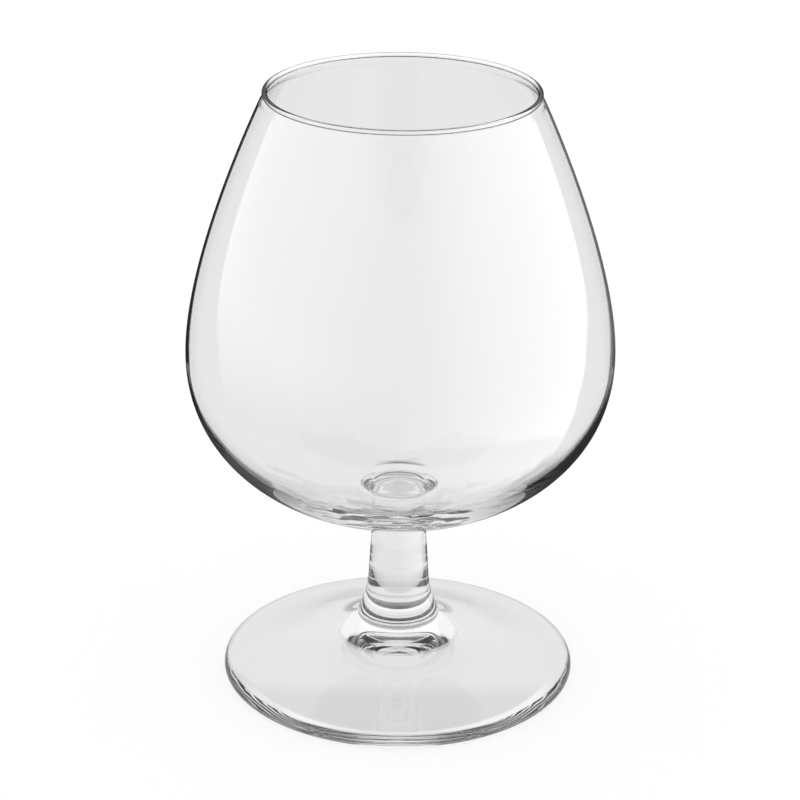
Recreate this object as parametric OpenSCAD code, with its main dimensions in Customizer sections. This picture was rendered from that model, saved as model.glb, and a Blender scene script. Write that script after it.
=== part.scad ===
// Brandy snifter of clear glass: a blown bowl, a short pressed stem and a pressed foot.
// The three pieces are welded hot, end to end. The glass is round about the Z axis, which points up,
// and the origin is the middle of the ring that the foot rests on. Lengths are millimetres.

/* [Bowl] */
// Height of the whole glass, from the table to the lip
glass_h = 116; // [108:0.5:126]
// Outer width of the bowl at its widest
belly_w = 79.75; // [72:0.25:88]
// Height of the widest place above the table
belly_z = 65.7; // [60:0.1:72]
// Outer width of the bowl just under its lip
neck_w = 51.8; // [46:0.1:58]
// Lean of the wall there, in degrees from upright
neck_lean = 24.5; // [18:0.5:30]
// Wall at the widest place
belly_wall = 0.95; // [0.8:0.05:1.8]
// Wall just under the lip
neck_wall = 0.6; // [0.5:0.05:1.1]
// Glass at the middle of the bowl's floor
floor_t = 3.5; // [2.4:0.1:5]

/* [Lip] */
// Outer width of the fire polished lip
lip_w = 50.5; // [46:0.1:56]
// Height over which the wall turns up into the lip
lip_h = 2.6; // [2:0.1:4]
// Thickness of the rounded bead
bead_t = 0.96; // [0.8:0.02:1.6]
// How far the bead stands out from the wall's outer face below it
bead_proud = 0.23; // [0.1:0.01:0.36]

/* [Stem] */
// Height of the weld between the bowl and the stem
top_weld_z = 35.4; // [33:0.1:38]
// Width of that weld
top_weld_w = 14.4; // [12:0.2:18]
// Height of the stem's narrowest place
waist_z = 30.5; // [28:0.1:31]
// Width of the stem there
waist_w = 10.2; // [8.5:0.1:11]
// Height at which the taper turns into the lower flare
knee_z = 20.4; // [18:0.1:23]
// Width of the stem there
knee_w = 11.44; // [11:0.02:13]

/* [Foot] */
// Outer width of the foot
foot_w = 67.3; // [60:0.1:76]
// Thickness of the foot's rounded edge
edge_t = 3; // [2.4:0.1:4]
// Height of the weld between the stem and the foot
low_weld_z = 12.5; // [11:0.1:14]
// Width of that weld
low_weld_w = 15.2; // [14:0.1:17]
// Thickness of the soft collar that the weld leaves
collar_t = 1.3; // [0.8:0.1:1.8]
// How far the collar stands out from the weld
collar_proud = 0.25; // [0.1:0.05:0.4]
// Width at which the hub's flare runs out into the foot's upper face
hub_w = 26; // [22:0.1:32]
// Height of the upper face there
hub_z = 7.95; // [7:0.05:9]
// Fall of the upper face there, in degrees from level
hub_fall = 24.5; // [16:0.5:30]
// Width of the flat ring that the foot rests on, measured across the ring
rest_flat = 1.6; // [1:0.1:2.4]
// Thickness of the foot under the hub's run out
foot_t = 3.85; // [3:0.05:4.3]
// Fall of the hollow's face there, in degrees from level
under_fall = 14; // [8:0.5:24]
// Height of the hollow under the foot, at the middle
hollow_h = 5.8; // [5:0.1:6.6]

/* [Hidden] */
// Handles of the curves, as shares of the straight distance between a curve's ends
belly_up_share = 0.28;
neck_share = 0.271;
belly_down_share = 0.472;
floor_share = 0.285;
lip_share = 0.33;
knee_share = 0.25;
flare_share = 0.39;
spread_share = 0.4;
hub_share = 0.3;
hollow_share = 0.35;
// How the wall grows from the widest place to the floor: a power of the share of the way down
wall_power = 2;
// Directions along the outlines, and places round their rounded parts, in degrees from +X
up = 90;
down = -90;
inward = 180;
flare_end = -67;
spread_end = 20;
collar_fall = -48;
edge_fall = -9;
hollow_start = 171;
bead_back = 200;
// Steps in each curve
steps = 14;
$fn = 128;

// The four control points of a smooth curve from a to b. It leaves a and reaches b in the directions
// given, and each handle is a share of the straight distance.
function bow(a, a_deg, b, b_deg, a_share, b_share) =
    let (d = norm(b - a))
    [a, a + a_share * d * [cos(a_deg), sin(a_deg)], b - b_share * d * [cos(b_deg), sin(b_deg)], b];

// The point of a curve at t, from 0 to 1
function at(c, t) =
    pow(1 - t, 3) * c[0] + 3 * pow(1 - t, 2) * t * c[1] + 3 * (1 - t) * t * t * c[2] + pow(t, 3) * c[3];

// The direction of travel of a curve at t, as a unit vector
function heading(c, t) =
    let (v = pow(1 - t, 2) * (c[1] - c[0]) + 2 * (1 - t) * t * (c[2] - c[1]) + t * t * (c[3] - c[2]))
    v / norm(v);

// The points of a curve, and the points of a curve that lies to its left by a wall, which grows from
// w0 to w1 by the power given. A negative wall lies to the right.
function along(c) = [for (i = [0 : steps]) at(c, i / steps)];
function beside(c, w0, w1, power = 1) =
    [for (i = [0 : steps])
        let (t = i / steps, h = heading(c, t))
        at(c, t) + (w0 + (w1 - w0) * pow(t, power)) * [-h[1], h[0]]];
function backwards(list) = [for (i = [len(list) - 1 : -1 : 0]) list[i]];

// The points of an arc from one direction to another, and the place at one direction
function place(centre, t, deg) = centre + t / 2 * [cos(deg), sin(deg)];
function turn(centre, t, from, to) = [for (i = [0 : steps]) place(centre, t, from + (to - from) * i / steps)];

// Places on the bowl
neck_z = glass_h - lip_h;
bead = [lip_w / 2 - bead_t / 2, glass_h - bead_t / 2];
bead_front = -acos(1 - 2 * bead_proud / bead_t);
belly = [belly_w / 2, belly_z];
neck = [neck_w / 2, neck_z];
top_weld = [top_weld_w / 2, top_weld_z];
lip_out = place(bead, bead_t, bead_front);
lip_in = place(bead, bead_t, bead_back);

// The bowl's outer outline, in three curves: belly to neck, neck to lip, belly to weld
rise = bow(belly, up, neck, up + neck_lean, belly_up_share, neck_share);
fall = bow(belly, down, top_weld, inward, belly_down_share, floor_share);
lip_face = bow(neck, up + neck_lean, lip_out, up, lip_share, lip_share);

// The inner outline follows the outer one at the wall's thickness
neck_in = neck - neck_wall * [cos(neck_lean), sin(neck_lean)];
lip_back = bow(neck_in, up + neck_lean, lip_in, up, lip_share, lip_share);

// Blown bowl: one wall from the weld to the lip, thicker towards its floor, with a rounded bead
module bowl() {
    color([0.87, 0.9, 0.88, 0.5])
    rotate_extrude()
    polygon(concat(
        [[0, top_weld_z]],
        backwards(along(fall)),
        along(rise),
        along(lip_face),
        turn(bead, bead_t, bead_front, bead_back),
        backwards(along(lip_back)),
        backwards(beside(rise, belly_wall, neck_wall)),
        beside(fall, -belly_wall, -floor_t, wall_power),
        [[0, top_weld_z + floor_t]]
    ));
}

// Places on the stem
waist = [waist_w / 2, waist_z];
knee = [knee_w / 2, knee_z];
low_weld = [low_weld_w / 2, low_weld_z];
taper = atan2(knee_z - waist_z, (knee_w - waist_w) / 2);
flare = bow(knee, taper, low_weld, flare_end, knee_share, flare_share);
spread = bow(waist, taper + inward, top_weld, spread_end, spread_share, spread_share);

// Pressed stem: solid, narrowest under the bowl, with a taper and a flare down to the foot
module stem() {
    color([0.84, 0.87, 0.85, 0.6])
    rotate_extrude()
    polygon(concat(
        [[0, low_weld_z]],
        backwards(along(flare)),
        along(spread),
        [[0, top_weld_z]]
    ));
}

// Places on the foot
collar_start = acos(1 - 2 * collar_proud / collar_t);
collar = low_weld - collar_t / 2 * [cos(collar_start), sin(collar_start)];
hub_top = place(collar, collar_t, collar_fall);
hub = [hub_w / 2, hub_z];
edge = [foot_w / 2 - edge_t / 2, edge_t / 2];
edge_top = place(edge, edge_t, up + edge_fall);
ring_in = [edge[0] - rest_flat, 0];
hub_under = [hub_w / 2, hub_z - foot_t];
hollow_top = [0, hollow_h];
under_rise = inward - under_fall;

// The foot's upper face, from the collar to the hub's run out and on to the edge, and its hollow
hub_face = bow(hub_top, collar_fall, hub, -hub_fall, hub_share, hub_share);
disc_face = bow(hub, -hub_fall, edge_top, edge_fall, hub_share, hub_share);
hollow = bow(ring_in, hollow_start, hub_under, under_rise, hollow_share, hollow_share);
dome = bow(hub_under, under_rise, hollow_top, inward, hollow_share, hollow_share);

// Pressed foot: a hub with a soft collar, a shallow cone down to a rounded edge, hollow underneath
module foot() {
    color([0.86, 0.89, 0.87, 0.55])
    rotate_extrude()
    polygon(concat(
        [[0, low_weld_z]],
        turn(collar, collar_t, collar_start, collar_fall),
        along(hub_face),
        along(disc_face),
        turn(edge, edge_t, up + edge_fall, down),
        along(hollow),
        along(dome)
    ));
}

bowl();
stem();
foot();
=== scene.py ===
"""Brandy snifter of clear glass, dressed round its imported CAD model.

The glass is three welded pieces: a blown bowl, a pressed stem and a pressed foot. Each is one closed
body of revolution, turned from a smooth outline by one tree of Geometry Nodes. Outlines are drawn in
millimetres, as (radius, height), and the meshes are in metres, in the frame of the CAD model.
"""

import logging
import math
from dataclasses import dataclass, field
from enum import Enum

import bpy
from mathutils import Matrix, Vector


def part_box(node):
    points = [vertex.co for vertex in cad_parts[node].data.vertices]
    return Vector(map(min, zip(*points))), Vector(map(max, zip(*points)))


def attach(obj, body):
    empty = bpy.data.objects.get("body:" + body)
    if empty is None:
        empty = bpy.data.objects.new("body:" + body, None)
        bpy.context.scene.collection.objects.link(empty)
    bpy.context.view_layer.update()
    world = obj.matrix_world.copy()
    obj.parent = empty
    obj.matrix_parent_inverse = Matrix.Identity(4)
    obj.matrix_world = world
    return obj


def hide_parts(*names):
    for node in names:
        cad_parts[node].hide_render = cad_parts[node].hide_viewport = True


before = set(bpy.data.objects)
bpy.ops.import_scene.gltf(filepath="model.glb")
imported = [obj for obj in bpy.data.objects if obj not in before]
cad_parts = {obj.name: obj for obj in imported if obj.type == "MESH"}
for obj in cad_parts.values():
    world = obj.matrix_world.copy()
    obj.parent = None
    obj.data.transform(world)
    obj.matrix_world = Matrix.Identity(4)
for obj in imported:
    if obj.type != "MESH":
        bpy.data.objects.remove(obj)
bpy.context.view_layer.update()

LOG = logging.getLogger("snifter")
MM = 0.001
WHITE = "#FFFFFF"
Span = tuple[float, float]
Stops = tuple[Span, ...]


class Skin(Enum):
    """What a band of a turned piece is covered with, by the number that the band carries."""

    WALL = 0
    WELD = 1
    BEAD = 2
    FLOOR = 3


class Shown(Enum):
    """The kinds of ray that see a stage object, as the names of Blender's visibility settings."""

    CAMERA = "visible_camera"
    DIFFUSE = "visible_diffuse"
    GLOSSY = "visible_glossy"
    THROUGH = "visible_transmission"
    HAZE = "visible_volume_scatter"
    SHADOW = "visible_shadow"


# Node trees: colours, the function that adds a node, and numbers that can be added and multiplied


def linear(colour: str) -> tuple[float, float, float, float]:
    """Turns an sRGB hex colour to the linear values that a shader takes.

    Args:
        colour: six hex digits after a hash sign.

    Returns:
        Linear red, green, blue and an alpha of 1.
    """
    parts = [int(colour[i : i + 2], 16) / 255 for i in (1, 3, 5)]
    red, green, blue = (v / 12.92 if v <= 0.04045 else ((v + 0.055) / 1.055) ** 2.4 for v in parts)
    return red, green, blue, 1.0


def add(tree: bpy.types.NodeTree, kind: str, inputs: dict | None = None, **settings) -> bpy.types.Node:
    """Adds a node to a tree, with its settings, and gives each named input its value or link.

    Args:
        tree: the node tree to add to.
        kind: Blender's name of the node type.
        inputs: a value, reading, socket or node for each input, by the input's name or number. A node
            stands for its first output.
        **settings: the node's own settings.

    Returns:
        The new node.
    """
    node = tree.nodes.new(kind)
    for name, value in settings.items():
        setattr(node, name, value)
    for key, value in (inputs or {}).items():
        if isinstance(key, int):
            socket = node.inputs[key]
        else:
            # A node may have a socket of that name for each type of data, and the one in use is meant
            socket = next(s for s in node.inputs if s.name == key and s.enabled)
        if isinstance(value, Reading):
            value = value.source
        if isinstance(value, bpy.types.Node):
            value = value.outputs[0]
        if isinstance(value, bpy.types.NodeSocket):
            tree.links.new(value, socket)
        else:
            socket.default_value = value
    return node


@dataclass(frozen=True, eq=False)
class Reading:
    """A number that a node tree works out for each point or ray. Arithmetic on it adds nodes."""

    KIND = "ShaderNodeMath"

    source: bpy.types.Node | bpy.types.NodeSocket

    def work(self, operation: str, *values: object) -> "Reading":
        """Adds a node that works on given values, or on this number alone where none is given.

        Args:
            operation: Blender's name of the operation.
            *values: what it works on, in order.

        Returns:
            The result.
        """
        inputs = dict(enumerate(values or (self,)))
        return type(self)(add(self.source.id_data, self.KIND, inputs, operation=operation))

    def __add__(self, other: object) -> "Reading":
        """Gives the sum."""
        return self.work("ADD", self, other)

    def __sub__(self, other: object) -> "Reading":
        """Gives the difference."""
        return self.work("SUBTRACT", self, other)

    def __rsub__(self, other: float) -> "Reading":
        """Gives what is left of another number."""
        return self.work("SUBTRACT", other, self)

    def __mul__(self, other: object) -> "Reading":
        """Gives the product."""
        return self.work("MULTIPLY", self, other)

    def __truediv__(self, other: object) -> "Reading":
        """Gives the quotient."""
        return self.work("DIVIDE", self, other)

    def __rtruediv__(self, other: float) -> "Reading":
        """Gives another number divided by this one."""
        return self.work("DIVIDE", other, self)

    def __mod__(self, other: object) -> "Reading":
        """Gives what is left after a division."""
        return self.work("MODULO", self, other)

    def __gt__(self, other: float) -> "Reading":
        """Gives 1 where this number is the greater one, and 0 elsewhere."""
        return self.work("GREATER_THAN", self, other)

    def __lt__(self, other: float) -> "Reading":
        """Gives 1 where this number is the smaller one, and 0 elsewhere."""
        return self.work("LESS_THAN", self, other)

    def pick(self, no: object, yes: object) -> "Reading":
        """Gives one number where this one is 0, another where it is 1, and a mix between."""
        inputs = {0: self, 2: no, 3: yes}
        return Reading(add(self.source.id_data, "ShaderNodeMix", inputs, data_type="FLOAT"))

    def ramp(self, ends: Span, base: object = 0.0, shape: str = "LINEAR") -> "Reading":
        """Gives a share that goes from a base to 1 between two values of this number.

        Args:
            ends: this number where the ramp starts, and where it ends.
            base: the share up to the start.
            shape: Blender's name of the ramp's shape.

        Returns:
            The share.
        """
        inputs = {"Value": self, "From Min": ends[0], "From Max": ends[1], "To Min": base}
        return Reading(add(self.source.id_data, "ShaderNodeMapRange", inputs, interpolation_type=shape))

    def graph(self, stops: Stops) -> "Reading":
        """Reads a graph with straight lines between its stops.

        Args:
            stops: pairs of a value of this number and the level there, in rising order of the value.

        Returns:
            The level.
        """
        low, high = stops[0][0], stops[-1][0]
        node = add(self.source.id_data, "ShaderNodeFloatCurve", {"Value": self.ramp((low, high))})
        curve = node.mapping.curves[0]
        node.mapping.clip_max_y = max(level for _, level in stops)
        node.mapping.use_clip = True
        # A new curve has two points. They are moved first, and then the rest are added in order
        for i, (at, level) in enumerate(stops):
            place = ((at - low) / (high - low), level)
            point = curve.points[i] if i < len(curve.points) else curve.points.new(*place)
            point.location = place
            point.handle_type = "VECTOR"
        node.mapping.update()
        return Reading(node)


class Count(Reading):
    """A whole number that a tree of Geometry Nodes works out."""

    KIND = "FunctionNodeIntegerMath"


# Outlines, in the plane of radius and height


@dataclass(frozen=True)
class Bow:
    """A smooth curve in the plane of an outline, held by four control points."""

    points: tuple[Vector, Vector, Vector, Vector]

    @classmethod
    def between(cls, start: Vector, start_deg: float, end: Vector, end_deg: float, shares: Span) -> "Bow":
        """Draws the curve that leaves one point and reaches another in given directions.

        Args:
            start: where the curve leaves.
            start_deg: its direction there, in degrees from the outward radius.
            end: where the curve arrives.
            end_deg: its direction there.
            shares: each handle's length, as a share of the straight distance.

        Returns:
            The curve.
        """
        reach = (end - start).length
        leave, arrive = shares[0] * reach * heading(start_deg), shares[1] * reach * heading(end_deg)
        return cls((start, start + leave, end - arrive, end))

    def at(self, t: float) -> Vector:
        """Gives the point of the curve at t, from 0 to 1."""
        a, b, c, d = self.points
        s = 1 - t
        return s**3 * a + 3 * s * s * t * b + 3 * s * t * t * c + t**3 * d

    def side(self, t: float) -> Vector:
        """Gives the unit vector to the left of the direction of travel at t."""
        a, b, c, d = self.points
        s = 1 - t
        ahead = s * s * (b - a) + 2 * s * t * (c - b) + t * t * (d - c)
        return Vector((-ahead.y, ahead.x)).normalized()

    def along(self, steps: int) -> list[Vector]:
        """Gives the points of the curve, ends included."""
        return [self.at(i / steps) for i in range(steps + 1)]

    def beside(self, near: float, far: float, power: float, steps: int) -> list[Vector]:
        """Gives the points of a curve that lies to the left of this one.

        Args:
            near: the distance at the start. A negative distance lies to the right.
            far: the distance at the end.
            power: how the distance changes, as a power of the share of the way.
            steps: the number of steps.

        Returns:
            The points, ends included.
        """
        spots = [i / steps for i in range(steps + 1)]
        return [self.at(t) + (near + (far - near) * t**power) * self.side(t) for t in spots]


def heading(degrees: float) -> Vector:
    """Gives the unit vector of a direction, in degrees from the outward radius."""
    return Vector((math.cos(math.radians(degrees)), math.sin(math.radians(degrees))))


def arc(centre: Vector, width: float, start_deg: float, end_deg: float, steps: int) -> list[Vector]:
    """Gives the points of an arc, ends included.

    Args:
        centre: the centre of the arc.
        width: the diameter.
        start_deg: where the arc starts, in degrees from the outward radius.
        end_deg: where it ends.
        steps: the number of steps.

    Returns:
        The points in order.
    """
    spots = [start_deg + (end_deg - start_deg) * i / steps for i in range(steps + 1)]
    return [centre + width / 2 * heading(spot) for spot in spots]


@dataclass
class Outline:
    """The closed outline of a turned piece, which starts and ends on the axis."""

    points: list[Vector] = field(default_factory=list)
    skins: list[Skin] = field(default_factory=list)
    same_mm: float = 1e-3

    def draw(self, points: list[Vector], skin: Skin = Skin.WALL) -> "Outline":
        """Adds points, and the skin of the bands that lead to them.

        Args:
            points: the points in order. One that repeats the last is left out.
            skin: what the bands are covered with.

        Returns:
            The outline itself.
        """
        for point in points:
            if self.points and (point - self.points[-1]).length < self.same_mm:
                continue
            if self.points:
                self.skins.append(skin)
            self.points.append(point)
        return self


# Finishes of the glass


def empty_material(name: str) -> tuple[bpy.types.Material, bpy.types.NodeTree]:
    """Makes a material whose node tree is empty, and gives both."""
    material = bpy.data.materials.new(name)
    material.use_nodes = True
    material.node_tree.nodes.clear()
    return material, material.node_tree


@dataclass(frozen=True)
class GlassFinish:
    """Clear soda lime glass. A thin edge of real glass looks dark because it bends the light away; here that
    dark is painted shade in the glass's colour, where an edge colour is given.

    The painted edge shade comes in between two values of how far the face is turned from the eye, from 0 to
    1, and between two heights. Waves, humps and rings are a relief, each with its size and its depth.
    Humps and rings are left by the work on the bowl's floor, and fade out between two heights.
    """

    name: str
    edge: str = WHITE
    painted_shade_turned: Span = (0.94, 0.99)
    painted_shade_high_mm: Span = (0.0, 1.0)
    wave_mm: float = 16.0
    wave_depth_mm: float = 0.001
    wave_detail: float = 1.0
    wave_roughness: float = 0.4
    hump_mm: float = 7.0
    hump_depth_mm: float = 0.0
    ring_mm: float = 2.2
    ring_depth_mm: float = 0.0
    ring_drift: float = 0.12
    worked_high_mm: Span = (48.0, 42.0)
    ior: float = 1.52

    def material(self) -> bpy.types.Material:
        """Makes the material.

        Returns:
            The material, with its faint relief and painted shade where a face is seen on edge.
        """
        material, tree = empty_material(self.name)
        place = add(tree, "ShaderNodeTexCoord").outputs["Object"]
        height = Reading(add(tree, "ShaderNodeSeparateXYZ", {0: place}).outputs["Z"])
        inputs = {"Color": linear(WHITE), "Roughness": 0.0, "IOR": self.ior}
        # Painted shade: where a face is seen on edge, the colour turns to the edge colour, in place of the
        # dark outline that the room gives real glass
        if self.edge != WHITE:
            facing = Reading(add(tree, "ShaderNodeLayerWeight", {"Blend": 0.5}).outputs["Facing"])
            share = facing.ramp(self.painted_shade_turned, shape="SMOOTHSTEP")
            share = share * self.between(height, self.painted_shade_high_mm)
            colours = {0: share, 6: linear(WHITE), 7: linear(self.edge)}
            inputs["Color"] = add(tree, "ShaderNodeMix", colours, data_type="RGBA").outputs[2]
        if self.wave_depth_mm:
            relief = self.relief(tree, place, height)
            bump = {"Strength": 1.0, "Distance": MM, "Height": relief}
            inputs["Normal"] = add(tree, "ShaderNodeBump", bump)
        add(tree, "ShaderNodeOutputMaterial", {"Surface": add(tree, "ShaderNodeBsdfGlass", inputs)})
        return material

    def between(self, height: Reading, ends_mm: Span) -> Reading:
        """Gives a share that goes from 0 to 1 between two heights."""
        return height.ramp((ends_mm[0] * MM, ends_mm[1] * MM))

    def relief(self, tree: bpy.types.NodeTree, place: object, height: Reading) -> Reading:
        """Gives the height of the surface's waves, and of its humps and rings where it has them.

        Args:
            tree: the node tree to add to.
            place: the socket that gives the place on the piece.
            height: the height of that place.

        Returns:
            The height in millimetres.
        """
        waves = self.waves(tree, place, self.wave_mm, self.wave_depth_mm)
        if not (self.hump_depth_mm or self.ring_depth_mm):
            return waves
        humps = self.waves(tree, place, self.hump_mm, self.hump_depth_mm)
        rings = self.waves(tree, self.ring_place(tree, place), self.ring_mm, self.ring_depth_mm)
        return (humps + rings) * self.between(height, self.worked_high_mm) + waves

    def waves(self, tree: bpy.types.NodeTree, place: object, size_mm: float, depth_mm: float) -> Reading:
        """Gives the height of soft uneven waves.

        Args:
            tree: the node tree to add to.
            place: the socket that gives the place on the piece.
            size_mm: how wide the waves are.
            depth_mm: how deep they are.

        Returns:
            The height in millimetres.
        """
        noise = {"Vector": place, "Scale": 1 / (size_mm * MM)}
        noise |= {"Detail": self.wave_detail, "Roughness": self.wave_roughness}
        return Reading(add(tree, "ShaderNodeTexNoise", noise)) * depth_mm

    def ring_place(self, tree: bpy.types.NodeTree, place: object) -> bpy.types.Node:
        """Gives a place that changes much across the rings round the axis, and little along them.

        Args:
            tree: the node tree to add to.
            place: the socket that gives the place on the piece.

        Returns:
            The node that gives the new place.
        """
        flat = add(tree, "ShaderNodeVectorMath", {0: place, 1: (1.0, 1.0, 0.0)}, operation="MULTIPLY")
        away = add(tree, "ShaderNodeVectorMath", {0: flat}, operation="LENGTH").outputs["Value"]
        along = add(tree, "ShaderNodeVectorMath", {0: place, "Scale": self.ring_drift}, operation="SCALE")
        across = add(tree, "ShaderNodeCombineXYZ", {0: away})
        return add(tree, "ShaderNodeVectorMath", {0: along, 1: across}, operation="ADD")


@dataclass(frozen=True)
class WeldFinish:
    """The plane where two hot pieces ran together. Nothing of it is seen: the glass goes on."""

    name: str = "fused glass weld"

    def material(self) -> bpy.types.Material:
        """Makes the material, which light passes unchanged."""
        material, tree = empty_material(self.name)
        add(tree, "ShaderNodeOutputMaterial", {"Surface": add(tree, "ShaderNodeBsdfTransparent")})
        return material


# Blown in a mould and fire polished: even and clear, with the faintest waves of the mould, and a thin line of
# painted shade where the wall is seen on edge, fading in between heights of 40 and 52 mm
BLOWN_GLASS = GlassFinish(
    "fire polished blown soda lime glass", edge="#8E8F8E", painted_shade_high_mm=(40.0, 52.0)
)
# The floor of the bowl, thick and uneven where it was last worked, so that it ripples what is seen
# through it
FLOOR_GLASS = GlassFinish("blown soda lime glass, worked floor", hump_depth_mm=0.3, ring_depth_mm=0.035)
# The melted lip is a round rod that bends light more than the wall; its broad dark lines are painted shade,
# laid over a wide range of how far its face is turned from the eye
BEAD_GLASS = GlassFinish(
    "fire polished glass bead", edge="#1A1B1B", painted_shade_turned=(0.6, 0.86), wave_depth_mm=0.0
)
# Pressed in a mould and fire polished: thicker and more uneven than the bowl, with painted shade where a face
# is seen on edge
PRESSED_GLASS = GlassFinish(
    "fire polished pressed soda lime glass", edge="#5A5B58", wave_mm=9.0, wave_depth_mm=0.006
)
# The foot's edge, rounded in the flame: wavy, with a thin dark outline of painted shade where it is seen on
# edge
EDGE_GLASS = GlassFinish(
    "fire polished glass edge", edge="#3A3B39", painted_shade_turned=(0.92, 0.99), wave_mm=5.0, wave_depth_mm=0.05
)
WELD = WeldFinish()


# Turning


class Lathe:
    """Turns outlines round the Z axis with one tree of Geometry Nodes."""

    SEGMENTS = 256
    CLOSING = 1e-3 * MM

    def __init__(self) -> None:
        """Builds the tree: a grid with a row for each point of the outline, bent round the axis."""
        self.tree = tree = bpy.data.node_groups.new("turn an outline", "GeometryNodeTree")
        sockets = (
            ("Outline", "INPUT", "NodeSocketGeometry"),
            ("Segments", "INPUT", "NodeSocketInt"),
            ("Closing distance", "INPUT", "NodeSocketFloat"),
            *((skin.name, "INPUT", "NodeSocketMaterial") for skin in Skin),
            ("Piece", "OUTPUT", "NodeSocketGeometry"),
        )
        for name, way, kind in sockets:
            tree.interface.new_socket(name, in_out=way, socket_type=kind)
        given = add(tree, "NodeGroupInput").outputs
        outline, segments = given["Outline"], Count(given["Segments"])
        rows = add(tree, "GeometryNodeAttributeDomainSize", {"Geometry": outline}, component="MESH")
        columns = segments + 1
        size = {"Size X": 1.0, "Size Y": 1.0}
        size |= {"Vertices X": rows.outputs["Point Count"], "Vertices Y": columns}
        grid = add(tree, "GeometryNodeMeshGrid", size)
        index = Count(add(tree, "GeometryNodeInputIndex"))
        place = add(tree, "GeometryNodeInputPosition")
        spot = self.of_point(outline, "FLOAT_VECTOR", place, index / columns)
        parts = add(tree, "ShaderNodeSeparateXYZ", {0: spot}).outputs
        angle = Reading((index % columns).source) * (2 * math.pi / Reading(segments.source))
        radius = Reading(parts[0])
        round_axis = {0: radius * angle.work("COSINE"), 1: radius * angle.work("SINE"), 2: parts[2]}
        bent = add(tree, "ShaderNodeCombineXYZ", round_axis)
        shape = add(tree, "GeometryNodeSetPosition", {"Geometry": grid, "Position": bent})
        skin = add(tree, "GeometryNodeInputNamedAttribute", {"Name": "skin"}, data_type="INT")
        band = self.of_point(outline, "INT", skin, index / segments)
        mark = {"Geometry": shape, "Name": "skin", "Value": band}
        shape = add(tree, "GeometryNodeStoreNamedAttribute", mark, data_type="INT", domain="FACE")
        closing = {"Geometry": shape, "Distance": given["Closing distance"]}
        shape = add(tree, "GeometryNodeMergeByDistance", closing)
        shape = add(tree, "GeometryNodeFlipFaces", {"Mesh": shape})
        rounded = {"A": skin, "B": Skin.WELD.value}
        rounded = add(tree, "FunctionNodeCompare", rounded, data_type="INT", operation="NOT_EQUAL")
        shape = add(tree, "GeometryNodeSetShadeSmooth", {"Geometry": shape, "Selection": rounded})
        shape = add(tree, "GeometryNodeRealizeInstances", {"Geometry": shape})
        for kind in Skin:
            covered = {"A": skin, "B": kind.value}
            covered = add(tree, "FunctionNodeCompare", covered, data_type="INT", operation="EQUAL")
            cover = {"Geometry": shape, "Selection": covered, "Material": given[kind.name]}
            shape = add(tree, "GeometryNodeSetMaterial", cover)
        add(tree, "NodeGroupOutput", {"Piece": shape})

    def of_point(self, outline: object, kind: str, value: object, number: Count) -> bpy.types.Node:
        """Reads a value from the outline's point of a given number.

        Args:
            outline: the socket that gives the outline.
            kind: Blender's name of the value's type of data.
            value: the node that gives the value on the outline.
            number: the number of the point.

        Returns:
            The node that gives the value there.
        """
        inputs = {"Geometry": outline, "Value": value, "Index": number}
        return add(self.tree, "GeometryNodeSampleIndex", inputs, data_type=kind, domain="POINT")

    def turn(self, name: str, outline: Outline, skins: dict[Skin, bpy.types.Material]) -> bpy.types.Object:
        """Turns an outline into a closed piece.

        Args:
            name: the name of the piece.
            outline: its outline, in millimetres.
            skins: the material for each skin. A skin that it leaves out is covered as the wall is.

        Returns:
            The piece as a plain mesh object at the origin.
        """
        mesh = bpy.data.meshes.new(name)
        spots = [(p.x * MM, 0.0, p.y * MM) for p in outline.points]
        mesh.from_pydata(spots, [(i, i + 1) for i in range(len(spots) - 1)], [])
        numbers = [skin.value for skin in outline.skins]
        mesh.attributes.new("skin", "INT", "POINT").data.foreach_set("value", numbers + numbers[-1:])
        piece = bpy.data.objects.new(name, mesh)
        bpy.context.scene.collection.objects.link(piece)
        modifier = piece.modifiers.new("turning", "NODES")
        modifier.node_group = self.tree
        values = {"Segments": self.SEGMENTS, "Closing distance": self.CLOSING}
        values |= {kind.name: skins.get(kind, skins[Skin.WALL]) for kind in Skin}
        for item in self.tree.interface.items_tree:
            if item.in_out == "INPUT" and item.name in values:
                modifier[item.identifier] = values[item.name]
        worked_out = bpy.context.evaluated_depsgraph_get()
        solid = bpy.data.meshes.new_from_object(piece.evaluated_get(worked_out), depsgraph=worked_out)
        piece.modifiers.clear()
        piece.data = solid
        solid.name = name
        solid.attributes.remove(solid.attributes["skin"])
        bpy.data.meshes.remove(mesh)
        return piece


def report(piece: bpy.types.Object, node: str) -> None:
    """Joins a finished piece to the CAD model and logs it.

    Args:
        piece: the piece.
        node: the CAD node that it replaces.
    """
    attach(piece, "root")
    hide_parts(node)
    LOG.info("%s: %d faces", piece.name, len(piece.data.polygons))


# The pieces


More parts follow.
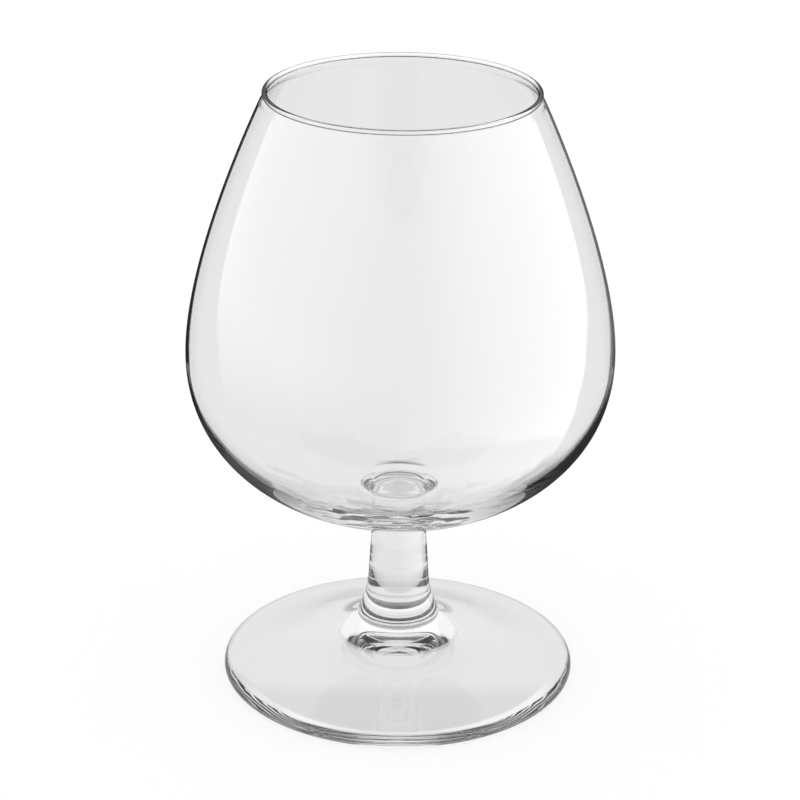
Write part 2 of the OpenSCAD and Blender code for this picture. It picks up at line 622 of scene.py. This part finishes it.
@dataclass
class Bowl:
    """The blown bowl, from its weld with the stem to its rounded lip. Lengths in millimetres."""

    belly_z: float = 65.7
    neck_w: float = 51.8
    neck_lean: float = 24.5
    belly_wall: float = 0.95
    neck_wall: float = 0.6
    floor_t: float = 3.5
    wall_power: float = 2.0
    lip_w: float = 50.5
    lip_h: float = 2.6
    bead_t: float = 0.96
    bead_proud: float = 0.23
    bead_back: float = 200.0
    weld_w: float = 14.4
    # The round mark in the middle of the floor: its width, its depth, and how soft its edge is
    mark_w: float = 9.6
    mark_depth: float = 0.25
    mark_soft: float = 0.25
    rise_shares: Span = (0.28, 0.271)
    fall_shares: Span = (0.472, 0.285)
    lip_shares: Span = (0.33, 0.33)
    steps: int = 72
    lip_steps: int = 12
    bead_steps: int = 24
    mark_steps: int = 40

    def outline(self) -> Outline:
        """Draws the wall: up the outside from the weld, over the bead, and down the inside.

        Returns:
            The outline.
        """
        low, high = (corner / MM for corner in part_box("bowl"))
        belly = Vector((high.x, self.belly_z))
        neck = Vector((self.neck_w / 2, high.z - self.lip_h))
        weld = Vector((self.weld_w / 2, low.z))
        lean = 90 + self.neck_lean
        rise = Bow.between(belly, 90, neck, lean, self.rise_shares)
        fall = Bow.between(belly, -90, weld, 180, self.fall_shares)
        bead = Vector(((self.lip_w - self.bead_t) / 2, high.z - self.bead_t / 2))
        front = -math.degrees(math.acos(1 - 2 * self.bead_proud / self.bead_t))
        round_lip = arc(bead, self.bead_t, front, self.bead_back, self.bead_steps)
        neck_in = neck - self.neck_wall * heading(self.neck_lean)
        face = Bow.between(neck, lean, round_lip[0], 90, self.lip_shares)
        back = Bow.between(neck_in, lean, round_lip[-1], 90, self.lip_shares)
        out = Outline().draw([Vector((0, low.z))]).draw([weld], Skin.WELD)
        out.draw(fall.along(self.steps)[::-1]).draw(rise.along(self.steps))
        out.draw(face.along(self.lip_steps)).draw(round_lip, Skin.BEAD)
        out.draw(back.along(self.lip_steps)[::-1])
        out.draw(rise.beside(self.belly_wall, self.neck_wall, 1, self.steps)[::-1])
        inside = fall.beside(-self.belly_wall, -self.floor_t, self.wall_power, self.steps)
        half = self.steps // 2
        out.draw(inside[:half]).draw(inside[half:], Skin.FLOOR)
        return out.draw(self.mark(low.z + self.floor_t), Skin.FLOOR)

    def mark(self, floor_z: float) -> list[Vector]:
        """Draws the round mark that the weld leaves in the middle of the bowl's floor.

        Args:
            floor_z: the height of the floor round it.

        Returns:
            The points from the floor inwards to the axis.
        """
        spots = [self.weld_w / 2 * (1 - i / self.mark_steps) for i in range(self.mark_steps + 1)]
        edge = self.mark_w / 2
        depths = [self.mark_depth / (1 + math.exp((r - edge) / self.mark_soft)) for r in spots]
        return [Vector((r, floor_z - depth)) for r, depth in zip(spots, depths)]

    def build(self, lathe: Lathe) -> bpy.types.Object:
        """Turns the bowl and dresses it."""
        skins = {Skin.WALL: BLOWN_GLASS, Skin.BEAD: BEAD_GLASS, Skin.FLOOR: FLOOR_GLASS, Skin.WELD: WELD}
        made = {skin: finish.material() for skin, finish in skins.items()}
        return lathe.turn("glass_bowl", self.outline(), made)


@dataclass
class Stem:
    """The short solid pressed stem between its two welds. Lengths in millimetres."""

    waist_z: float = 30.5
    waist_w: float = 10.2
    knee_z: float = 20.4
    knee_w: float = 11.44
    low_weld_w: float = 15.2
    top_weld_w: float = 14.4
    flare_end: float = -67.0
    spread_end: float = 20.0
    flare_shares: Span = (0.25, 0.39)
    spread_shares: Span = (0.4, 0.4)
    steps: int = 48

    def outline(self) -> Outline:
        """Draws the stem: out over the lower weld, up the flare and the spread, and in.

        Returns:
            The outline.
        """
        low, high = (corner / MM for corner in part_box("stem"))
        waist = Vector((self.waist_w / 2, self.waist_z))
        knee = Vector((self.knee_w / 2, self.knee_z))
        foot_end = Vector((self.low_weld_w / 2, low.z))
        bowl_end = Vector((self.top_weld_w / 2, high.z))
        taper = math.degrees(math.atan2(knee.y - waist.y, knee.x - waist.x))
        flare = Bow.between(knee, taper, foot_end, self.flare_end, self.flare_shares)
        spread = Bow.between(waist, taper + 180, bowl_end, self.spread_end, self.spread_shares)
        out = Outline().draw([Vector((0, low.z))]).draw([foot_end], Skin.WELD)
        out.draw(flare.along(self.steps)[::-1]).draw(spread.along(self.steps))
        return out.draw([Vector((0, high.z))], Skin.WELD)

    def build(self, lathe: Lathe) -> bpy.types.Object:
        """Turns the stem and dresses it."""
        skins = {Skin.WALL: PRESSED_GLASS.material(), Skin.WELD: WELD.material()}
        return lathe.turn("glass_stem", self.outline(), skins)


@dataclass
class Foot:
    """The pressed foot: collar, hub, shallow cone, rounded edge and hollow. Lengths in millimetres."""

    edge_t: float = 3.0
    weld_w: float = 15.2
    collar_t: float = 1.3
    collar_proud: float = 0.25
    collar_fall: float = -48.0
    hub_w: float = 26.0
    hub_z: float = 7.95
    hub_fall: float = 24.5
    edge_fall: float = -9.0
    rest_flat: float = 1.6
    foot_t: float = 3.85
    under_fall: float = 14.0
    hollow_h: float = 5.8
    hollow_start: float = 171.0
    hub_shares: Span = (0.3, 0.3)
    hollow_shares: Span = (0.35, 0.35)
    steps: int = 48
    edge_steps: int = 32
    collar_steps: int = 16

    def outline(self) -> Outline:
        """Draws the foot: out through its hollow, round the edge, up the cone and the collar, and in.

        Returns:
            The outline.
        """
        low, high = (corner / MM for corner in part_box("foot"))
        weld = Vector((self.weld_w / 2, high.z))
        start = math.degrees(math.acos(1 - 2 * self.collar_proud / self.collar_t))
        collar = weld - self.collar_t / 2 * heading(start)
        round_collar = arc(collar, self.collar_t, start, self.collar_fall, self.collar_steps)
        hub = Vector((self.hub_w / 2, self.hub_z))
        edge = Vector((high.x - self.edge_t / 2, low.z + self.edge_t / 2))
        round_edge = arc(edge, self.edge_t, 90 + self.edge_fall, -90, self.edge_steps)
        ring_in = Vector((edge.x - self.rest_flat, low.z))
        under = Vector((self.hub_w / 2, self.hub_z - self.foot_t))
        hub_face = Bow.between(round_collar[-1], self.collar_fall, hub, -self.hub_fall, self.hub_shares)
        disc_face = Bow.between(hub, -self.hub_fall, round_edge[0], self.edge_fall, self.hub_shares)
        rise = 180 - self.under_fall
        hollow = Bow.between(ring_in, self.hollow_start, under, rise, self.hollow_shares)
        dome = Bow.between(under, rise, Vector((0, self.hollow_h)), 180, self.hollow_shares)
        out = Outline()
        out.draw(dome.along(self.steps)[::-1]).draw(hollow.along(self.steps)[::-1])
        out.draw(round_edge[::-1], Skin.BEAD)
        for part in (disc_face.along(self.steps), hub_face.along(self.steps), round_collar):
            out.draw(part[::-1])
        return out.draw([weld]).draw([Vector((0, high.z))], Skin.WELD)

    def build(self, lathe: Lathe) -> bpy.types.Object:
        """Turns the foot and dresses it."""
        skins = {Skin.WALL: PRESSED_GLASS, Skin.BEAD: EDGE_GLASS, Skin.WELD: WELD}
        made = {skin: finish.material() for skin, finish in skins.items()}
        return lathe.turn("glass_foot", self.outline(), made)


# The studio


@dataclass(frozen=True)
class SoftBox:
    """A soft light at one side, by degrees round the room and up from level.

    Its level is given round the room, its share by height, and how far round its near edge lies by
    height, on its own side.
    """

    level: Stops
    share: Stops
    edge: Stops


@dataclass(frozen=True)
class Ray:
    """What the room knows of a ray that leaves the glass.

    Its direction is in degrees: round the room from straight behind the glass, positive to the right,
    and up from level. The rest is how often the glass mirrored it, how many faces of glass it crossed,
    and whether it crossed none, or so many that it went through both walls.
    """

    around: Reading
    up: Reading
    mirrored: Reading
    crossed: Reading
    outside: Reading
    far: Reading


@dataclass
class Studio:
    """A pale room with a soft box at each side, and a white table.

    What the glass shows of them depends on the direction, on how often it mirrored the ray and on how many
    faces of glass the ray crossed. No real room does that. The levels were chosen from greys read off the
    photograph, so that the glass looks as it does there from that one side. Lengths are in millimetres.
    """

    room: float = 0.807
    black: float = 0.02
    # A ray has crossed more faces than these where it went through both walls, where it went through
    # the stem as well, and where it went through the lip as well
    both_walls: float = 3.0
    with_stem: float = 4.0
    with_lip: float = 5.0
    # A ray that is mirrored more often than this has run along inside the glass. It has run far where
    # it is mirrored this often or more, and round the foot's edge where it is mirrored more often still
    inside: float = 3.0
    far_inside: float = 5.0
    round_edge: float = 9.0
    # The table's painted shade for rays that ran round the foot's edge
    round_edge_level: float = 0.1

    # The soft boxes, as the faces of the glass mirror them
    left: SoftBox = SoftBox(
        level=(
            (-180, 1.25), (-169, 1.28), (-158, 1.4), (-147, 1.6), (-135, 1.75), (-122, 1.95), (-100, 2.05),
            (-81, 2.1), (-61, 2.0), (-50, 2.0), (-49, 1.0), (180, 1.0),
        ),
        share=((-90, 0.0), (-24, 0.0), (-14, 0.35), (-2, 1.0), (50, 1.0), (70, 0.0), (90, 0.0)),
        edge=(
            (-90, 60), (-47, 64), (-41, 68), (-32, 72), (-21, 75), (-11, 70), (-7, 62), (-3, 58), (0, 56),
            (90, 55),
        ),
    )
    right: SoftBox = SoftBox(
        level=(
            (-180, 1.0), (49, 1.0), (50, 2.6), (62, 2.6), (81, 2.9), (100, 2.95), (122, 2.7), (135, 2.4),
            (147, 2.05), (158, 1.65), (169, 1.35), (180, 1.25),
        ),
        share=((-90, 0.0), (-70, 0.3), (-50, 1.0), (50, 1.0), (70, 0.0), (90, 0.0)),
        edge=(
            (-90, 60), (-47, 63), (-41, 67), (-32, 71), (-21, 72), (-11, 65), (-7, 57), (-3, 54), (0, 53),
            (90, 53),
        ),
    )
    # How much of the boxes an inner face shows by height, and how far round it shows them shifted
    inside_share: Stops = ((-90, 0.0), (-38, 0.0), (-33, 1.0), (90, 1.0))
    inside_shift: float = 2.5
    # An edge of a box or an outline is this soft, in degrees to each side
    soft: Span = (-1.0, 1.0)

    # The dark outlines, mirrored at a glancing angle: how far round each reaches by height, its level,
    # and its share by height
    outline_left: Stops = ((-90, 36), (-36, 36), (-30, 30), (-26, 28), (-20, 28), (-15, 23), (90, 23))
    outline_right: Stops = ((-90, 46), (-36, 45), (-26, 35), (-19, 31), (-15, 23), (90, 23))
    outline_shift: float = 4.0
    outline_left_level: float = 0.04
    outline_right_level: Stops = ((-90, 0.04), (-26, 0.05), (-20, 0.25), (90, 0.25))
    outline_share: Stops = ((-90, 1.0), (-8, 1.0), (-4, 0.0), (90, 0.0))
    # A dark card low on the right, which the outer face mirrors
    card_around: Stops = ((-180, 0.0), (16, 0.0), (20, 1.0), (70, 1.0), (75, 0.0), (180, 0.0))
    card_up: Stops = ((-90, 0.0), (-66, 0.0), (-58, 1.0), (-46, 1.0), (-40, 0.0), (90, 0.0))
    # The bright skirt over the dark lens in front of the stem, and the lens
    skirt: Stops = ((-90, 0.0), (8, 0.0), (16, 0.16), (46, 0.16), (50, 0.0), (90, 0.0))
    lens_up: Stops = ((-90, 0.0), (40, 0.0), (44, 1.0), (64, 1.0), (68, 0.0), (90, 0.0))
    lens_around: Stops = ((-180, 0.0), (-54, 0.0), (-51, 1.0), (51, 1.0), (54, 0.0), (180, 0.0))

    # Seen by rays that aren't mirrored, by height: through one wall, and through both walls
    through_one: Stops = (
        (-90, 0.03), (-62, 0.03), (-54, 1.12), (-40, 1.12), (-33, 0.807), (-28, 0.807), (-26, 1.12),
        (-22, 1.12), (-19, 0.807), (2, 0.807), (5, 0.3), (9, 0.03), (90, 0.03),
    )
    through_both: Stops = ((-90, 0.02), (-43, 0.02), (-37, 0.807), (8, 0.807), (14, 0.1), (90, 0.02))
    # Seen by rays that are mirrored two or three times and didn't go through both walls
    mirrored_few: Stops = ((-180, 0.03), (-110, 0.03), (-85, 0.807), (85, 0.807), (110, 0.03), (180, 0.03))
    # Seen by rays that ran along inside the glass: round the room, by height, and by height where they
    # didn't run far
    deep_around: Stops = (
        (-180, 0.02), (-117, 0.015), (-97, 0.02), (-75, 0.04), (-62, 0.1), (-50, 0.3), (-38, 0.62),
        (-20, 0.85), (0, 0.87), (20, 0.85), (38, 0.7), (50, 0.34), (62, 0.16), (75, 0.1), (97, 0.1),
        (117, 0.08), (140, 0.02), (180, 0.02),
    )
    deep_up: Stops = ((-90, 0.3), (-20, 0.3), (-8, 1.0), (90, 1.0))
    deep_near_up: Stops = ((-90, 0.04), (19, 0.04), (24, 1.0), (90, 1.0))

    # The table's level by distance from the middle, and what it is multiplied by: in front, towards one side,
    # under the stem, where it is mirrored twice, and where the lip bends it. All of it is painted light and
    # shade: darker in the middle and under the stem as a painted shadow of the glass, lighter or darker in
    # front and towards one side, and dark past a ring for rays mirrored twice or bent by the lip, which
    # paints dark lines into the glass
    table: Stops = ((0, 0.77), (22, 0.785), (34, 0.775), (46, 0.77), (60, 0.807))
    in_front: Stops = ((-60, 1.0), (-16, 1.0), (-10, 0.0), (60, 0.0))
    front_level: Stops = ((0, 0.89), (29.3, 0.89), (29.9, 1.2), (60, 1.2))
    side_way: tuple[float, float, float] = (-0.846, -0.538, 0.0)
    side_level: Stops = ((0, 1.0), (29, 1.0), (29.8, 0.86), (60, 0.86))
    under_stem: Stops = ((0, 0.7), (20, 0.74), (28, 1.0), (60, 1.0))
    mirrored_twice: Stops = ((0, 1.0), (22, 1.0), (30, 0.04), (60, 0.04))
    under_lip: Stops = ((0, 0.7), (26, 0.7), (28, 0.02), (60, 0.02))
    # Streaks of painted shade across it, which the foot's edge draws out into thin dark lines
    streak_mm: float = 4.0
    streak_ends: Span = (0.42, 0.48)
    streak_level: float = 0.45

    # The table, just under the glass, and the floor just under the table
    table_w: float = 92.0
    table_z: float = -0.01
    floor_w: float = 3000.0
    floor_z: float = -0.02
    floor_colour: str = "#F4F4F2"
    floor_glow: float = 1.06
    floor_glow_share: float = 0.72
    disc_sides: int = 96
    bounces: int = 72

    def build(self) -> None:
        """Makes the world, the floor and the table that the glass mirrors."""
        self.world()
        self.disc("floor", self.floor_w, self.floor_z, self.floor_material(), {Shown.CAMERA, Shown.DIFFUSE})
        self.disc("table", self.table_w, self.table_z, self.table_material(), {Shown.GLOSSY, Shown.THROUGH})
        settings = bpy.context.scene
        settings.view_settings.view_transform = "Standard"
        for kind in ("max_bounces", "transmission_bounces", "glossy_bounces", "transparent_max_bounces"):
            setattr(settings.cycles, kind, self.bounces)
        LOG.info("studio: world, floor and table")

    def world(self) -> None:
        """Lights the room by direction. The camera sees white, and the glass sees the pale room."""
        world = bpy.data.worlds.new("pale studio")
        world.use_nodes = True
        bpy.context.scene.world = world
        tree = world.node_tree
        tree.nodes.clear()
        way = add(tree, "ShaderNodeTexCoord").outputs["Generated"]
        right, back, up = (Reading(part) for part in add(tree, "ShaderNodeSeparateXYZ", {0: way}).outputs)
        path = add(tree, "ShaderNodeLightPath").outputs
        crossed, mirrored = Reading(path["Transmission Depth"]), Reading(path["Glossy Depth"])
        ray = Ray(
            around=right.work("ARCTAN2", right, back) * math.degrees(1),
            up=up.work("ARCSINE") * math.degrees(1),
            mirrored=mirrored,
            crossed=crossed,
            outside=crossed < 1.0,
            far=crossed > self.both_walls,
        )
        straight = ray.far.pick(ray.up.graph(self.through_one), ray.up.graph(self.through_both))
        level = (mirrored > 0.0).pick(straight, self.mirrored_once(ray, Reading(path["Is Transmission Ray"])))
        few = ray.far.pick(ray.around.graph(self.mirrored_few), self.room)
        level = (mirrored > 1.0).pick(level, few)
        level = (mirrored > self.inside).pick(level, self.deep(ray))
        for plain in (Reading(path["Is Camera Ray"]), Reading(path["Diffuse Depth"]) > 0.0):
            level = plain.pick(level, 1.0)
        sky = add(tree, "ShaderNodeBackground", {"Color": linear(WHITE), "Strength": level})
        add(tree, "ShaderNodeOutputWorld", {"Surface": sky})

    def mirrored_once(self, ray: Ray, came_through: Reading) -> Reading:
        """Works out what a ray sees that the glass mirrored once.

        Args:
            ray: the ray.
            came_through: 1 where the ray crossed a face last, and 0 where a face mirrored it last.

        Returns:
            The level.
        """
        boxes = self.box(ray, self.left, -1.0) * self.box(ray, self.right, 1.0)
        shown = ray.outside.pick(ray.up.graph(self.inside_share), 1.0)
        skirt = ray.up.graph(self.skirt) * (1.0 - ray.outside)
        lit = shown.pick(1.0, boxes) * self.room + skirt
        card = ray.around.graph(self.card_around) * ray.up.graph(self.card_up)
        near = (card * ray.outside).pick(lit * self.outline(ray), self.black)
        lens = ray.up.graph(self.lens_up) * ray.around.graph(self.lens_around)
        lens = lens * (ray.crossed > self.with_stem)
        level = ray.far.pick(near, lens.pick(self.room, self.black))
        # A ray that crossed the glass and was then mirrored by an outer face sees the plain room
        return (1.0 - came_through - ray.outside).pick(level, self.room)

    def box(self, ray: Ray, box: SoftBox, side: float) -> Reading:
        """Works out what a soft box multiplies the room's level by.

        Args:
            ray: the ray.
            box: the soft box.
            side: -1 where the box stands on the left, and 1 where it stands on the right.

        Returns:
            The share, which is 1 beside the box.
        """
        past = self.past(ray, ray.around * side, ray.up.graph(box.edge), self.inside_shift)
        share = ray.up.graph(box.share) * past.ramp(self.soft)
        return share.pick(1.0, ray.around.graph(box.level))

    def outline(self, ray: Ray) -> Reading:
        """Works out what the dark outlines of the glass multiply the level by.

        Args:
            ray: the ray.

        Returns:
            The share, which is 1 away from the outlines.
        """
        on_right = ray.around > 0.0
        reach = on_right.pick(ray.up.graph(self.outline_left), ray.up.graph(self.outline_right))
        dark = on_right.pick(self.outline_left_level, ray.up.graph(self.outline_right_level))
        past = self.past(ray, ray.around.work("ABSOLUTE"), reach, self.outline_shift)
        return ray.up.graph(self.outline_share).pick(1.0, past.ramp(self.soft, base=dark))

    def past(self, ray: Ray, side: Reading, edge: Reading, shift: float) -> Reading:
        """Works out how far round a ray lies past an edge. An inner face sees the edge shifted."""
        return side - edge + ray.outside.pick(shift, 0.0)

    def deep(self, ray: Ray) -> Reading:
        """Works out what a ray sees that ran along inside the glass."""
        deep = ray.around.graph(self.deep_around) * ray.up.graph(self.deep_up)
        return (ray.mirrored < self.far_inside).pick(deep, deep * ray.up.graph(self.deep_near_up))

    def floor_material(self) -> bpy.types.Material:
        """Makes the floor that the camera sees: white paper that keeps the glass's soft shadow.

        Returns:
            The material.
        """
        material, tree = empty_material("white paper sweep")
        paper = add(tree, "ShaderNodeBsdfDiffuse", {"Color": linear(self.floor_colour)})
        glow = add(tree, "ShaderNodeEmission", {"Color": linear(WHITE), "Strength": self.floor_glow})
        mixed = add(tree, "ShaderNodeMixShader", {0: self.floor_glow_share, 1: paper, 2: glow})
        add(tree, "ShaderNodeOutputMaterial", {"Surface": mixed})
        return material

    def table_material(self) -> bpy.types.Material:
        """Makes the table that the glass shows, near the level of the room, with a painted shadow and painted
        dark rings in its glow.

        Returns:
            The material.
        """
        material, tree = empty_material("white table")
        place = add(tree, "ShaderNodeTexCoord").outputs["Object"]
        away = add(tree, "ShaderNodeVectorMath", {0: place}, operation="LENGTH").outputs["Value"]
        away = Reading(away) / MM
        front = Reading(add(tree, "ShaderNodeSeparateXYZ", {0: place}).outputs["Y"]) / MM
        side = {0: place, 1: self.side_way}
        side = add(tree, "ShaderNodeVectorMath", side, operation="DOT_PRODUCT").outputs["Value"]
        side = Reading(side) / MM
        noise = {"Vector": place, "Scale": 1 / (self.streak_mm * MM), "Detail": 1.0}
        noise = Reading(add(tree, "ShaderNodeTexNoise", noise))
        path = add(tree, "ShaderNodeLightPath").outputs
        crossed, mirrored = Reading(path["Transmission Depth"]), Reading(path["Glossy Depth"])
        # Painted light and shade: the level is darker in the middle as a painted shadow of the glass, and
        # each factor below darkens or lightens it for some rays
        level = away.graph(self.table) * side.graph(self.side_level)
        for seen, share in (
            (front.graph(self.in_front), away.graph(self.front_level)),
            (crossed > self.both_walls, away.graph(self.under_stem)),
            ((mirrored < 1.0) * (crossed > self.with_lip), away.graph(self.under_lip)),
            (mirrored > 1.0, away.graph(self.mirrored_twice)),
            # Painted shade: dark streaks, and a low level for rays that ran round the foot's edge
            (mirrored > self.inside, noise.ramp(self.streak_ends, base=self.streak_level)),
            (mirrored > self.round_edge, self.round_edge_level),
        ):
            level = level * seen.pick(1.0, share)
        glow = add(tree, "ShaderNodeEmission", {"Color": linear(WHITE), "Strength": level})
        add(tree, "ShaderNodeOutputMaterial", {"Surface": glow})
        return material

    def disc(
        self, name: str, width: float, height: float, material: bpy.types.Material, shown: set[Shown]
    ) -> bpy.types.Object:
        """Makes a round stage object.

        Args:
            name: its name.
            width: its diameter in millimetres.
            height: its height in millimetres.
            material: its material.
            shown: the kinds of ray that see it.

        Returns:
            The disc.
        """
        mesh = bpy.data.meshes.new(name)
        sides = range(self.disc_sides)
        spots = [width / 2 * heading(360 * i / self.disc_sides) for i in sides]
        mesh.from_pydata([(p.x * MM, p.y * MM, height * MM) for p in spots], [], [list(sides)])
        mesh.materials.append(material)
        disc = bpy.data.objects.new(name, mesh)
        bpy.context.scene.collection.objects.link(disc)
        for kind in Shown:
            setattr(disc, kind.value, kind in shown)
        return disc


@dataclass(frozen=True)
class PhotoCamera:
    """The camera of the photograph, solved from the ellipses of the lip and of the foot's edge."""

    lens_mm: float = 124.0
    sensor_mm: float = 36.0
    pitch_deg: float = 22.6336
    roll_deg: float = 0.5
    back_mm: float = 476.32
    height_mm: float = 254.4
    nearest_mm: float = 10.0

    def build(self) -> bpy.types.Object:
        """Makes the camera and gives it to the scene.

        Returns:
            The camera.
        """
        lens = bpy.data.cameras.new("photo camera")
        lens.lens = self.lens_mm
        lens.sensor_width = self.sensor_mm
        lens.clip_start = self.nearest_mm * MM
        camera = bpy.data.objects.new("photo camera", lens)
        bpy.context.scene.collection.objects.link(camera)
        place = Matrix.Translation((0.0, -self.back_mm * MM, self.height_mm * MM))
        look = Matrix.Rotation(math.radians(90 - self.pitch_deg), 4, "X")
        camera.matrix_world = place @ look @ Matrix.Rotation(math.radians(self.roll_deg), 4, "Z")
        bpy.context.scene.camera = camera
        LOG.info("camera: %s mm lens, %.1f degrees down", self.lens_mm, self.pitch_deg)
        return camera


def main() -> None:
    """Builds the camera, the three pieces and the studio, in that order."""
    logging.basicConfig(level=logging.INFO, format="%(name)s: %(message)s")
    PhotoCamera().build()
    lathe = Lathe()
    report(Bowl().build(lathe), "bowl")
    report(Stem().build(lathe), "stem")
    report(Foot().build(lathe), "foot")
    Studio().build()


if __name__ == "__main__":
    main()
